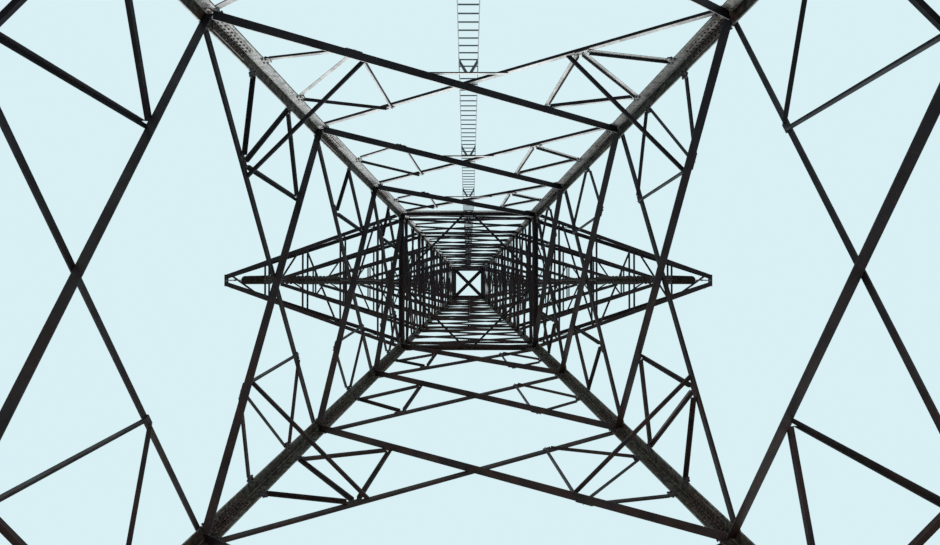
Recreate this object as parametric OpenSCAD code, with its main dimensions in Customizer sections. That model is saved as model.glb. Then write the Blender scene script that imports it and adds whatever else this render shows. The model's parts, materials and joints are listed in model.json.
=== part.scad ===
// Lattice transmission pylon for four circuits, drawn at half its real size.
// Millimetres, +Z up, the cross arms run along X and the conductors would run along Y.

/* [Tower body] */
// Distance between the outer faces of the legs at the ground
base_width = 5850; // [5000:50:7000]
// Distance between the outer faces of the legs at the waist
waist_width = 2280; // [1900:20:2600]
// Distance between the outer faces of the legs at the top
top_width = 1110; // [900:5:1400]
// Height of the first bracing level, above the base panel
level_0 = 3300; // [2800:50:3800]
// Height of the second bracing level
level_1 = 6725; // [6200:25:7200]
// Height of the third bracing level
level_2 = 9400; // [9000:25:9900]
// Height of the fourth bracing level
level_3 = 11900; // [11500:25:12300]
// Height of the waist, where the lowest cross arm starts
waist_z = 13700; // [13200:50:14500]

/* [Legs and feet] */
// Flange width of the leg angles below the waist
leg_flange = 120; // [90:1:130]
// Thickness of the leg angles below the waist
leg_thick = 12; // [8:0.5:16]
// Flange width of the leg angles above the waist
upper_flange = 80; // [64:1:96]
// Thickness of the leg angles above the waist
upper_thick = 8; // [6:0.5:12]
// Side of the square base plate under each leg
foot_side = 360; // [320:5:440]
// Thickness of the base plate
foot_thick = 22; // [14:1:40]
// Distance between the anchor holes
anchor_spacing = 260; // [220:5:280]
// Diameter of the anchor holes
anchor_hole_d = 27; // [18:1:36]
// Height of the ribs that stiffen the base plate
foot_rib = 120; // [80:5:180]

/* [Bracing] */
// Flange width of the inner diagonals below the waist
main_flange = 75; // [60:1:90]
// Thickness of the inner diagonals
main_thick = 7; // [5:0.5:10]
// Flange width of the outer diagonals below the waist
tie_flange = 50; // [40:1:75]
// Thickness of the outer diagonals
tie_thick = 5; // [4:0.5:8]
// Flange width of the short bars that stiffen them
stay_flange = 36; // [30:1:44]
// Thickness of the short bars
stay_thick = 4; // [3:0.5:6]
// Thickness of the joint plates of the short bars
plate_thick = 6; // [4:0.5:10]
// Width of the joint plates of the short bars
plate_side = 60; // [50:1:70]
// Distance between the places where short bars meet a diagonal
joint_pitch = 52; // [48:1:70]
// Side of the plates that tie the short bars to a leg
cleat_side = 52; // [50:1:80]
// Distance from a short bar's end to its standing flange
end_room = 6; // [4:1:45]
// The same distance where the flange would meet the diagonal
cope_room = 95; // [90:1:130]
// Distance of the first panel's corner ties from the short bars' joint, towards the crossing
tie_shift_0 = 230; // [150:5:260]
// Distance of the second panel's corner ties from that joint
tie_shift_1 = 140; // [135:5:220]
// Distance from a crossing down to the bar that carries the ladder
rest_drop = 270; // [200:5:320]
// Flange width of the horizontal girts at the first level and the waist
girt_flange = 75; // [60:1:90]
// How far the girts lie under the joints of the diagonals
girt_drop = 85; // [80:1:140]
// Flange width of the level bars: diamonds and corner ties
diamond_flange = 32; // [30:1:42]
// Thickness of the level bars
diamond_thick = 5; // [4:0.5:7]
// Distance of a diamond's bars from the middle of a girt
diamond_room = 20; // [18:1:60]
// Flange width of the diagonals above the waist
body_flange = 36; // [32:1:42]
// Thickness of the diagonals above the waist
body_thick = 4; // [3:0.5:6]
// Width of the flat bars that close the top
top_flange = 60; // [45:1:70]
// Width of the two bars that cross there
cross_flange = 130; // [60:5:140]
// Distance of the diagonals' ends from a horizontal above the waist
joint_room = 65; // [60:1:90]

/* [Cross arms] */
// Height from one cross arm to the next
arm_pitch = 3150; // [2900:50:3250]
// Depth of a cross arm where it meets the tower
arm_depth = 750; // [600:10:900]
// Reach of the lowest cross arm from the tower's axis
arm_reach_1 = 4070; // [3900:10:4300]
// Reach of the second cross arm
arm_reach_2 = 3900; // [3700:10:4050]
// Reach of the third cross arm
arm_reach_3 = 3700; // [3500:10:3850]
// Reach of the fourth cross arm
arm_reach_4 = 3150; // [3050:10:3300]
// Reach of the fifth cross arm
arm_reach_5 = 3000; // [2900:10:3150]
// Reach of the top cross arm
arm_reach_6 = 2920; // [2800:10:3050]
// Flange width of the cross arms' four main bars
arm_flange = 60; // [48:1:70]
// Thickness of the cross arms' four main bars
arm_thick = 5; // [4:0.5:8]
// Flange width of the cross arms' lacing
lacing_flange = 32; // [24:1:40]
// Thickness of the lacing
lacing_thick = 4; // [3:0.5:6]
// Distance of a lacing diagonal's ends from the upright or strut beside it
lacing_room = 50; // [45:1:80]
// Number of bays from the inner hanger to the tip
arm_bays = 4; // [3:1:6]
// Half the width of a cross arm at its tip
tip_half = 90; // [80:5:130]
// Depth of a cross arm at its tip
tip_depth = 130; // [110:5:200]
// Reach of the two arms for the earth wires
earth_reach = 2450; // [2200:10:2700]
// Depth of the arms for the earth wires
earth_depth = 600; // [450:10:700]
// Height from the top conductor arm's upper bars to the earth wire arms
earth_rise = 550; // [450:10:700]

/* [Insulators] */
// Distance from the tower to the inner hanger of the lowest cross arm
hanger_room_1 = 375; // [300:5:600]
// Distance from the tower to the inner hanger of the second cross arm
hanger_room_2 = 305; // [280:5:600]
// Distance from the tower to the inner hanger of the third cross arm
hanger_room_3 = 405; // [280:5:600]
// Distance from the tower to the inner hanger of the fourth cross arm
hanger_room_4 = 460; // [280:5:600]
// Distance from the tower to the inner hanger of the fifth cross arm
hanger_room_5 = 510; // [280:5:650]
// Distance from the tower to the inner hanger of the top cross arm
hanger_room_6 = 595; // [280:5:700]
// Number of discs in one string
disc_count = 15; // [8:1:18]
// Height of one disc along its string
disc_pitch = 73; // [65:1:85]
// Radius of a disc
disc_r = 66; // [55:1:75]
// Length of the rods and links above the discs
link_length = 880; // [700:10:1000]
// Radius of the link rod
link_r = 9; // [7:0.5:12]
// Distance between neighbouring conductors of one bundle
bundle_spacing = 200; // [180:5:240]
// Radius of the bore of a conductor clamp
clamp_bore_r = 8; // [6:0.5:10]
// Thickness of the yoke plate
yoke_thick = 10; // [8:1:16]
// Length of a conductor clamp
clamp_length = 110; // [80:5:160]
// Wall of a conductor clamp
clamp_wall = 8; // [5:0.5:10]
// Height from the strings' lower ends to the upper clamps
clamp_drop = 70; // [60:5:100]

/* [Ladder] */
// Height of the ladder's lower end
ladder_start = 1300; // [1200:50:2500]
// Outer width of the ladder
ladder_width = 185; // [160:5:220]
// Distance of the ladder from the face of the tower
ladder_offset = 105; // [100:5:150]
// Depth of a ladder rail
rail_depth = 30; // [20:1:40]
// Thickness of a ladder rail
rail_thick = 8; // [5:0.5:12]
// Distance from rung to rung
rung_pitch = 150; // [140:5:170]
// Width of a square rung
rung_side = 10; // [8:0.5:14]
// Width of the brackets that hold the rails
bracket_width = 30; // [20:1:40]

/* [Hidden] */
// Clearance between bars that one node holds as separate solids
seat_gap = 0.3;
// Side of the packer where two diagonals cross, as a share of their flange
packer_share = 0.6;
arm_count = 6;
big = 20000;
reach = [arm_reach_1, arm_reach_2, arm_reach_3, arm_reach_4, arm_reach_5, arm_reach_6];
hanger_room = [hanger_room_1, hanger_room_2, hanger_room_3, hanger_room_4, hanger_room_5, hanger_room_6];
levels = [level_0, level_1, level_2, level_3, waist_z];
lower_lean = atan((base_width - waist_width) / 2 / waist_z);
arm_top_z = waist_z + (arm_count - 1) * arm_pitch + arm_depth;
earth_z = arm_top_z + earth_rise;
top_z = earth_z + earth_depth + upper_flange / 2;
upper_lean = atan((waist_width - top_width) / 2 / (top_z - waist_z));
string_length = link_length + disc_count * disc_pitch;
yoke_half = bundle_spacing / 2 + 10;
yoke_room = 10;
yoke_reach = 25;
hanger_drop = 70;
rail_y = -ladder_offset - rail_depth;

// One node, or all of them

// Half the distance between the outer leg faces at height z
function half_w(z) = z <= waist_z
    ? base_width / 2 - z * tan(lower_lean)
    : waist_width / 2 - (z - waist_z) * tan(upper_lean);
function arm_z(i) = waist_z + i * arm_pitch;
// Height where the two diagonals of a panel cross
function cross_z(z0, z1) = z0 + (z1 - z0) * half_w(z0) / (half_w(z0) + half_w(z1));
function mix(a, b, f) = a + (b - a) * f;
function unit(v) = v / norm(v);
function flat_to(v, d) = unit(v - (v * d) * d);

// Distances along a leaning face, for a height above the ground
function along(z) = z / cos(lower_lean);
function along_up(z) = (z - waist_z) / cos(upper_lean);

// Angle section with a wide flange on the line and a standing flange at one edge
module angle_profile(flange, thick, hand = 1) {
    scale_x = hand < 0 ? -1 : 1;
    polygon([[-scale_x * flange / 2, 0], [scale_x * flange / 2, 0], [scale_x * flange / 2, flange],
        [scale_x * (flange / 2 - thick), flange], [scale_x * (flange / 2 - thick), thick],
        [-scale_x * flange / 2, thick]]);
}

// Places its children so that their +Z runs from p to q and their +Y follows n
module lay(p, q, n) {
    d = unit(q - p);
    y = flat_to(n, d);
    x = cross(y, d);
    multmatrix([[x.x, y.x, d.x, p.x], [x.y, y.y, d.y, p.y], [x.z, y.z, d.z, p.z], [0, 0, 0, 1]])
        children();
}

// Angle bar centred on a line, its standing flange on the side that n points to
module bar(p, q, n, flange, thick, hand = 1) {
    lay(p, q, n)
        linear_extrude(norm(q - p))
            angle_profile(flange, thick, hand);
}

// Angle bar with its heel on the line and its flanges along u and v
module heel_bar(p, q, u, v, flange, thick) {
    d = unit(q - p);
    x = flat_to(u, d);
    y = cross(d, x);
    e = flat_to(v, d);
    c = e * x;
    s = e * y;
    sg = s > 0 ? 1 : -1;
    k = thick * sg * (1 + c) / s;
    multmatrix([[x.x, y.x, d.x, p.x], [x.y, y.y, d.y, p.y], [x.z, y.z, d.z, p.z], [0, 0, 0, 1]])
        linear_extrude(norm(q - p))
            polygon([[0, 0], [flange, 0], [flange, thick * sg],
                [k * c + thick * s * sg, thick * sg],
                [flange * c + thick * s * sg, flange * s - thick * c * sg],
                [flange * c, flange * s]]);
}

// Local frame of a face below the waist: x along the face, y inward, z up the slope
module on_lower_face(side) {
    rotate([0, 0, 90 * side])
        translate([0, -base_width / 2, 0])
            rotate([-lower_lean, 0, 0])
                children();
}

// Local frame of a face above the waist
module on_upper_face(side) {
    rotate([0, 0, 90 * side])
        translate([0, -waist_width / 2, waist_z])
            rotate([-upper_lean, 0, 0])
                children();
}

module everything_below(z) {
    translate([-big, -big, z - 2 * big])
        cube([2 * big, 2 * big, 2 * big]);
}

module everything_above(z) {
    translate([-big, -big, z])
        cube([2 * big, 2 * big, 2 * big]);
}

// Lower leg with its base plate
module lower_leg(sx, sy) {
    hb = base_width / 2;
    hw = waist_width / 2;
    foot = hb - leg_flange / 2;
    p = [sx * hb, sy * hb, 0];
    q = [sx * hw, sy * hw, waist_z];
    difference() {
        heel_bar(p - 0.01 * (q - p), q + 0.01 * (q - p), [-sx, 0, 0], [0, -sy, 0],
            leg_flange, leg_thick);
        everything_below(foot_thick / 2);
        everything_above(waist_z);
    }
    difference() {
        translate([sx * foot - foot_side / 2, sy * foot - foot_side / 2, 0])
            cube([foot_side, foot_side, foot_thick]);
        for (i = [-1, 1])
            for (j = [-1, 1])
                translate([sx * foot + i * anchor_spacing / 2, sy * foot + j * anchor_spacing / 2, -1])
                    cylinder(d = anchor_hole_d, h = foot_thick + 2, $fn = 32);
    }
    // Ribs inside the angle
    rib = foot_side / 2 - leg_flange / 2 + leg_flange - leg_thick - 30;
    translate([sx * foot, sy * (hb - leg_thick / 2 - foot_rib * tan(lower_lean)), foot_thick])
        foot_rib_plate(sx, sy, rib, true);
    translate([sx * (hb - leg_thick / 2 - foot_rib * tan(lower_lean)), sy * foot, foot_thick])
        foot_rib_plate(sx, sy, rib, false);
}

module foot_rib_plate(sx, sy, run, along_y) {
    rotate([0, 0, along_y ? (sy > 0 ? -90 : 90) : (sx > 0 ? 180 : 0)])
        rotate([90, 0, 0])
            translate([0, 0, -plate_thick / 2])
                linear_extrude(plate_thick)
                    polygon([[0, 0], [run, 0], [run, plate_thick * 2], [plate_thick * 2, foot_rib],
                        [0, foot_rib]]);
}

// Leg above the waist
module upper_leg(sx, sy) {
    hw = waist_width / 2;
    ht = half_w(top_z);
    p = [sx * hw, sy * hw, waist_z];
    q = [sx * ht, sy * ht, top_z];
    difference() {
        heel_bar(p - 0.01 * (q - p), q + 0.01 * (q - p), [-sx, 0, 0], [0, -sy, 0],
            upper_flange, upper_thick);
        everything_below(waist_z);
        everything_above(top_z);
    }
}

// Plate in the plane of a face, between two depths
module face_plate(x, s, wide, high, y0, y1, turn = 0) {
    translate([x, y0, s])
        rotate([0, turn, 0])
            translate([-wide / 2, 0, -high / 2])
                cube([wide, y1 - y0, high]);
}

// Short bar in the layer between the diagonals. Its standing flange turns away from the diagonal
// that it is fixed to: inward with inner = 1, outward with inner = -1
module stay(a, b, cut_a, inner, cope_a = 0, cope_b = end_room) {
    d = unit(b - a);
    p = a + d * cut_a;
    q = b - d * stay_flange / 4;
    run = norm(q - p);
    y = (leg_thick - inner * stay_thick) / 2;
    lay([p.x, y, p.y], [q.x, y, q.y], [0, inner, 0]) {
        translate([-stay_flange / 2, 0, 0])
            cube([stay_flange, stay_thick, run]);
        translate([0, 0, cope_a])
            linear_extrude(run - cope_a - cope_b)
                angle_profile(stay_flange, stay_thick);
    }
}

// One side's short bars, between the leg's points at heights a and b and the middles of two half
// diagonals, which run from the nodes at z0 and z1 to the crossing
module stay_group(m, a, b, z0, z1, zc, xc) {
    start = cleat_side / 2;
    e = joint_pitch;
    up = [0, e / 2];
    pa = leg_point(m, a);
    pb = leg_point(m, b);
    j = half_way(m, z0, zc, xc);
    k = half_way(m, z1, zc, xc);
    dj = toward(m, z0, zc, xc);
    dk = toward(m, z1, zc, xc);
    if (b > a)
        stay(pa, j - dj * e, start, m);
    stay(pb - up, j, start, m);
    stay(pb + up, k - dk * e / 2, start, -m);
    stay(j + dj * e, k + dk * e / 2, stay_flange / 4, 1, m < 0 ? cope_room : end_room,
        m < 0 ? end_room : cope_room);
    joint_plate(j, dj, plate_side * 0.5 + 2 * e);
    joint_plate(k, dk, plate_side * 0.5 + e);
    if (b > a)
        leg_cleat(m, a);
    leg_cleat(m, b);
}

// Point beside the leg in a face, and the middle of a half diagonal with its direction
function leg_point(m, z) = [m * (half_w(z) - leg_flange - 4), along(z)];
function node_point(m, z) = [m * (half_w(z) - leg_flange / 2), along(z)];
function half_way(m, z, zc, xc) = (node_point(m, z) + [m * xc, along(zc)]) / 2;
function toward(m, z, zc, xc) = unit([m * xc, along(zc)] - node_point(m, z));

// Plate that joins short bars, along a diagonal and hidden between the two diagonals' planes
module joint_plate(p, d, run) {
    face_plate(p.x, p.y, plate_side, run, seat_gap, leg_thick - seat_gap, atan2(d.x, d.y));
}

// Plate that ties the short bars to the leg's inner side
module leg_cleat(m, z) {
    wide = cleat_side * 0.9;
    high = cleat_side * 1.9;
    edge = half_w(z) - leg_flange;
    face_plate(m * edge, along(z), cleat_side, high, leg_thick, leg_thick + plate_thick);
    face_plate(m * (edge - wide / 2 - 5), along(z), wide, high * 0.95,
        seat_gap, leg_thick + plate_thick / 2);
}

// Point of a half diagonal, as distance from the face's middle and height
function half_point(z_node, z_mid, f) = [mix(half_w(z_node) - leg_flange / 2, 0, f), mix(z_node, z_mid, f)];

// One braced panel below the waist
module lower_panel(z0, z1, thirds) {
    zc = cross_z(z0, z1);
    g = leg_flange / 2;
    x0 = half_w(z0) - g;
    x1 = half_w(z1) - g;
    inner_y = leg_thick;
    bar([-x0, inner_y, along(z0)], [x1, inner_y, along(z1)], [0, 1, 0], main_flange, main_thick);
    side = tie_flange * packer_share;
    face_plate(0, along(zc), side, side, seat_gap, leg_thick + main_thick / 2, 45);
    bar([x0, 0, along(z0)], [-x1, 0, along(z1)], [0, -1, 0], tie_flange, tie_thick, -1);
    for (m = [-1, 1])
        stay_group(m, mix(z0, z1, thirds ? 1 / 3 : 0.5), mix(z0, z1, thirds ? 2 / 3 : 0.5), z0, z1, zc, 0);
}

// Flat bar under a crossing of the front face that carries the ladder
module ladder_rest(z0, z1) {
    zc = cross_z(z0, z1);
    x = (half_w(z0) - leg_flange / 2) * rest_drop / (zc - z0);
    translate([-x, seat_gap, along(zc - rest_drop) - stay_flange / 2])
        cube([2 * x, leg_thick - 2 * seat_gap, stay_flange]);
}

module lower_bracing(side) {
    on_lower_face(side)
        for (i = [0:3])
            lower_panel(levels[i], levels[i + 1], i < 2);
    if (side == 0)
        on_lower_face(side)
            for (i = [0:3])
                ladder_rest(levels[i], levels[i + 1]);
}

// Two diagonals from the feet to the middle of the first girt, with their short bars
module base_bracing(side) {
    zt = level_0 - girt_drop;
    foot_z = 260;
    g = leg_flange / 2;
    xm = 50;
    on_lower_face(side)
        for (m = [-1, 1]) {
            bar([m * (half_w(foot_z) - g), 0, along(foot_z)], [m * xm, 0, along(zt)], [0, -1, 0],
                main_flange, main_thick, m);
            base_stays(m, mix(foot_z, zt, 0.4), mix(foot_z, zt, 0.75), foot_z, zt, xm);
        }
}

// Short bars between a leg and the base diagonal beside it
module base_stays(m, a, b, z0, zt, xm) {
    start = cleat_side / 2;
    up = [0, joint_pitch / 2];
    foot = node_point(m, z0);
    top = [m * xm, along(zt)];
    d = unit(top - foot);
    j = mix(foot, top, 0.36);
    k = mix(foot, top, 0.68);
    stay(leg_point(m, a), j - d * joint_pitch / 2, start, 1);
    stay(leg_point(m, b) - up, j + d * joint_pitch / 2, start, 1);
    stay(leg_point(m, b) + up, k, start, 1);
    joint_plate(j, d, plate_side * 0.5 + joint_pitch);
    joint_plate(k, d, plate_side);
    leg_cleat(m, a);
    leg_cleat(m, b);
}

// Ring of girts with a diamond between their middles
module girt_ring(z, gap_y) {
    hw = half_w(z);
    for (side = [0:3])
        on_lower_face(side) {
            x = hw - leg_flange;
            bar([-x, 0, along(z)], [x, 0, along(z)], [0, 1, 0], girt_flange, leg_thick, -1);
        }
    for (side = [0:3])
        difference() {
            rotate([0, 0, 90 * side])
                bar([diamond_room - 30, -hw - 30, z - 10], [hw + 30, 30 - diamond_room, z - 10], [0, 0, -1],
                    diamond_flange, diamond_thick);
            on_lower_face(side)
                face_block(gap_y);
            on_lower_face((side + 1) % 4)
                face_block(gap_y);
        }
}

// Everything that lies outward of a depth in a face
module face_block(y) {
    translate([-big / 4, y - big / 4, -big / 8])
        cube([big / 2, big / 4, big]);
}

module base_girts() {
    girt_ring(level_0 - girt_drop, leg_thick + seat_gap);
}

module waist_frame() {
    girt_ring(waist_z - girt_drop, leg_thick + seat_gap);
}

// Short ties across each corner, from the outer diagonal of one face to the inner one of the next
module corner_tie(side, z0, z1, shift) {
    zc = cross_z(z0, z1);
    half_run = norm([half_w(z0) - leg_flange / 2, zc - z0]);
    j = half_point(z0, zc, 0.5 + shift / half_run);
    hw = half_w(j.y);
    z = j.y;
    difference() {
        rotate([0, 0, 90 * side])
            bar([j.x - 60, -hw - 60, z], [hw + 60, -j.x + 60, z], [0, 0, 1], diamond_flange, diamond_thick);
        on_lower_face(side)
            face_block(seat_gap);
        on_lower_face((side + 1) % 4)
            face_block(leg_thick + main_thick + seat_gap);
    }
}

module corner_ties() {
    for (side = [0:3]) {
        corner_tie(side, level_0, level_1, tie_shift_0);
        corner_tie(side, level_1, level_2, tie_shift_1);
    }
}

// Diagonals of one panel above the waist, one on each side of the leg flanges
module body_panel(z0, z1, room0, room1) {
    g = upper_flange / 2;
    a = z0 + room0;
    b = z1 - room1;
    xa = half_w(a) - g;
    xb = half_w(b) - g;
    zc = a + (b - a) * xa / (xa + xb);
    bar([-xa, upper_thick, along_up(a)], [xb, upper_thick, along_up(b)], [0, 1, 0],
        body_flange, body_thick);
    bar([xa, 0, along_up(a)], [-xb, 0, along_up(b)], [0, -1, 0], body_flange, body_thick, -1);
    side = body_flange * packer_share;
    face_plate(0, along_up(zc), side, side, -body_thick / 2, upper_thick + body_thick / 2, 45);
}

// Horizontal bar of a face above the waist
module body_rail(z) {
    x = half_w(z) - upper_flange / 4;
    bar([-x, upper_thick, along_up(z)], [x, upper_thick, along_up(z)], [0, 1, 0],
        body_flange, body_thick);
}

module body_bracing(side) {
    half_rest = (arm_pitch - arm_depth) / 2;
    on_upper_face(side) {
        for (i = [0:arm_count - 1]) {
            z = arm_z(i);
            body_rail(i > 0 ? z : z + body_flange);
            body_rail(z + arm_depth);
            body_panel(z, z + arm_depth, i > 0 ? joint_room : joint_room + body_flange, joint_room);
            if (i < arm_count - 1) {
                body_panel(z + arm_depth, z + arm_depth + half_rest, joint_room, 0);
                body_panel(z + arm_depth + half_rest, z + arm_pitch, 0, joint_room);
            }
        }
        body_panel(arm_top_z, earth_z, joint_room, joint_room);
        body_rail(earth_z);
        body_panel(earth_z, earth_z + earth_depth, joint_room, joint_room);
    }
}

// Ring and cross that close the top of the tower
module top_frame() {
    hw = half_w(top_z);
    m = hw - upper_flange / 2;
    inner = m - top_flange / 2 - seat_gap;
    cross_half = m * sqrt(2) - cross_flange / 4;
    for (side = [0, 2])
        rotate([0, 0, 90 * side])
            top_bar(hw, m);
    for (side = [1, 3])
        rotate([0, 0, 90 * side])
            top_bar(inner, m);
    // The cross lies on the ring, one bar over the other
    for (i = [0, 1])
        rotate([0, 0, 45 + 90 * i])
            translate([-cross_half, -cross_flange / 2, top_z + (i + 1) * (body_thick + seat_gap)])
                cube([2 * cross_half, cross_flange, body_thick]);
}

module top_bar(half, y) {
    translate([-half, -y - top_flange / 2, top_z])
        cube([2 * half, top_flange, body_thick]);
}

// Point of a lower main bar of an arm, on the side m
function low_at(x, m, a) = [x, m * mix(a.x, tip_half, (x - a.x) / (a[4] - a.x)), a.z];
// Point of an upper main bar
function high_at(x, m, a) = [x, m * mix(a.y, tip_half, (x - a.y) / (a[4] - a.y)),
    mix(a.z + a[3], a.z + tip_depth, (x - a.y) / (a[4] - a.y))];

// Flat bar that starts half way into the flange it is fixed to
module lace(p, q, n) {
    lay(p, q, n)
        translate([-lacing_flange / 2, 0, 0])
            cube([lacing_flange, lacing_thick + arm_thick / 2, norm(q - p)]);
}

// One cross arm on the +X side, tapering from the four leg corners to its tip
module arm(z, depth, tip_x, inner_x) {
    hb = half_w(z);
    a = [hb, half_w(z + depth), z, depth, tip_x];
    stations = concat([hb + arm_flange], [for (i = [0:arm_bays]) mix(inner_x, tip_x - tip_half / 2, i / arm_bays)]);
    n = len(stations) - 1;
    up = [0, 0, arm_thick / 2];
    for (m = [-1, 1]) {
        side_in = unit([tip_half - hb, -m * (tip_x - hb), 0]);
        at_flange = side_in * arm_thick / 2;
        lift = [0, 0, arm_flange / 2];
        difference() {
            union() {
                heel_bar(low_at(hb - 100, m, a), low_at(tip_x, m, a), [0, -m, 0], [0, 0, 1],
                    arm_flange, arm_thick);
                heel_bar(high_at(hb - 100, m, a), high_at(tip_x, m, a), [0, -m, 0], [0, 0, -1],
                    arm_flange, arm_thick);
            }
            on_upper_face(1)
                translate([-big / 8, 0, -big / 8])
                    cube([big / 4, big / 4, 2 * big]);
        }
        for (i = [1:n]) {
            low = low_at(stations[i], m, a) + at_flange;
            high = high_at(stations[i], m, a) + at_flange;
            if (i < n)
                lace(low + up * 1.5, high - up * 1.5, side_in);
            lace(low_at(stations[i] - lacing_room, m, a) + at_flange + lift,
                high_at(stations[i - 1] + lacing_room, m, a) + at_flange - lift, -side_in);
        }
    }
    for (i = [1:n]) {
        low = low_at(stations[i], 1, a) - [0, arm_flange / 2, 0];
        front = low_at(stations[i] - lacing_room, 1, a) - [0, arm_flange / 2, 0];
        back = low_at(stations[i - 1] + lacing_room, 1, a) - [0, arm_flange / 2, 0];
        s = i % 2 == 0 ? 1 : -1;
        lace([low.x, -low.y, z] + up, low + up, [0, 0, 1]);
        lace([back.x, -s * back.y, z] + up, [front.x, s * front.y, z] + up, [0, 0, -1]);
        if (i < n) {
            high = high_at(stations[i], 1, a) - [0, arm_flange / 2, arm_thick / 2];
            lace([high.x, -high.y, high.z], high, [0, 0, -1]);
        }
    }
    // End plate
    edge = arm_thick * 1.5;
    translate([tip_x - arm_thick, -tip_half - edge, z - edge])
        cube([arm_thick * 2, 2 * (tip_half + edge), tip_depth + 2 * edge]);
}

// Places along an arm: outer hanger, inner hanger, and the conductors half way between them
function out_x(i) = reach[i] - tip_half / 2;
function in_x(i) = half_w(arm_z(i)) + hanger_room[i];
function wire_x(i) = (in_x(i) + out_x(i)) / 2;

// Lug under a cross arm that carries a string
module hanger(x, z) {
    translate([x - yoke_thick / 2, -25, z - hanger_drop])
        cube([yoke_thick, 50, hanger_drop + arm_thick]);
}

module cross_arm(i, m) {
    mirror([m < 0 ? 1 : 0, 0, 0]) {
        arm(arm_z(i), arm_depth, reach[i], in_x(i));
        hanger(out_x(i), arm_z(i));
        hanger(in_x(i), arm_z(i));
    }
}

module earth_wire_arms() {
    for (m = [0, 1])
        mirror([m, 0, 0])
            arm(earth_z, earth_depth, earth_reach, half_w(earth_z) + 260);
}

// Profile of the discs, from the axis out
function disc_points(i) = [for (p = [[0.35, 0], [0.35, 0.3], [1, 0.5], [1, 0.56], [0.2, 0.66],
    [0.2, 0.99]]) [p.x * disc_r, (i + p.y) * disc_pitch]];

// One string from its lug down to the yoke, along +Z
module insulator_string() {
    translate([0, 0, -2 * link_r])
        cylinder(r = link_r, h = link_length + 3 * link_r, $fn = 24);
    translate([0, 0, link_length])
        rotate_extrude($fn = 48)
            polygon(concat([[0, 0]], [for (i = [0:disc_count - 1]) each disc_points(i)],
                [[0.2 * disc_r, disc_count * disc_pitch + yoke_reach], [0, disc_count * disc_pitch + yoke_reach]]));
}

// Both strings, the yoke plate and its four clamps on one side of the tower
module v_string(i) {
    z_top = arm_z(i) - hanger_drop;
    spread = out_x(i) - wire_x(i) - yoke_half;
    z_low = z_top - sqrt(string_length * string_length - spread * spread);
    difference() {
        for (m = [-1, 1])
            lay([wire_x(i) + m * (spread + yoke_half), 0, z_top], [wire_x(i) + m * yoke_half, 0, z_low],
                [0, 1, 0])
                insulator_string();
        everything_above(z_top);
        everything_below(z_low - yoke_room + seat_gap);
    }
    translate([wire_x(i), 0, z_low])
        yoke();
}

// Plate between the strings and the four conductor clamps
module yoke() {
    half = bundle_spacing / 2;
    edge = 30;
    rotate([90, 0, 0])
        difference() {
            union() {
                translate([0, 0, -yoke_thick / 2])
                    linear_extrude(yoke_thick)
                        difference() {
                            translate([-half - edge, -clamp_drop - bundle_spacing - edge])
                                square([2 * (half + edge), clamp_drop + bundle_spacing + edge - yoke_room]);
                            translate([-half + edge, -clamp_drop - bundle_spacing + edge])
                                square([2 * (half - edge), bundle_spacing - edge]);
                        }
                clamp_places()
                    cylinder(r = clamp_bore_r + clamp_wall, h = clamp_length, center = true, $fn = 24);
            }
            clamp_places()
                cylinder(r = clamp_bore_r, h = clamp_length + 2, center = true, $fn = 24);
        }
}

// Repeats its children at the corners of a conductor bundle
module clamp_places() {
    for (x = [-1, 1])
        for (y = [-clamp_drop, -clamp_drop - bundle_spacing])
            translate([x * bundle_spacing / 2, y, 0])
                children();
}

module insulators(i) {
    for (m = [0, 1])
        mirror([m, 0, 0])
            v_string(i);
}

// Two rails with their rungs, along +Z of a face
module ladder_run(s0, s1) {
    for (m = [-1, 1])
        translate([m * (ladder_width - rail_thick) / 2 - rail_thick / 2, rail_y, s0])
            cube([rail_thick, rail_depth, s1 - s0]);
    count = floor((s1 - s0 - rung_pitch / 3 - rung_side) / rung_pitch);
    rung = ladder_width - rail_thick;
    for (i = [0:count])
        translate([-rung / 2, rail_y + (rail_depth - rung_side) / 2, s0 + (i + 1 / 3) * rung_pitch])
            cube([rung, rung_side, rung_side]);
}

// Bracket that holds both rails to the middle of the face at depth y
module ladder_bracket(s, y) {
    outer = (ladder_width - rail_thick) / 2;
    inner = ladder_width / 2 - 2.5 * rail_thick;
    back = rail_y + rail_depth;
    for (m = [-1, 1])
        translate([0, 0, s - bracket_width / 2])
            linear_extrude(bracket_width)
                polygon([[m * outer, rail_y + rail_thick], [m * outer, back + rail_thick],
                    [m * ladder_width * 0.18, y], [m * ladder_width * 0.04, y],
                    [m * inner, back - rail_thick / 2], [m * inner, rail_y + rail_thick]]);
}

module ladder_lower() {
    on_lower_face(0) {
        ladder_run(along(ladder_start), along(waist_z));
        for (i = [0:3])
            ladder_bracket(along(cross_z(levels[i], levels[i + 1]) - rest_drop), 0);
        ladder_bracket(along(level_0 - girt_drop), 0);
    }
}

module ladder_upper() {
    on_upper_face(0) {
        ladder_run(rung_side, along_up(top_z));
        for (i = [0:arm_count - 1]) {
            if (i > 0)
                ladder_bracket(along_up(arm_z(i)), upper_thick);
            ladder_bracket(along_up(arm_z(i) + arm_depth), upper_thick);
        }
        ladder_bracket(along_up(earth_z), upper_thick);
    }
}

steel = [0.5, 0.5, 0.5];
dark_steel = [0.35, 0.36, 0.38];
olive = [0.3, 0.3, 0.16];

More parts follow.
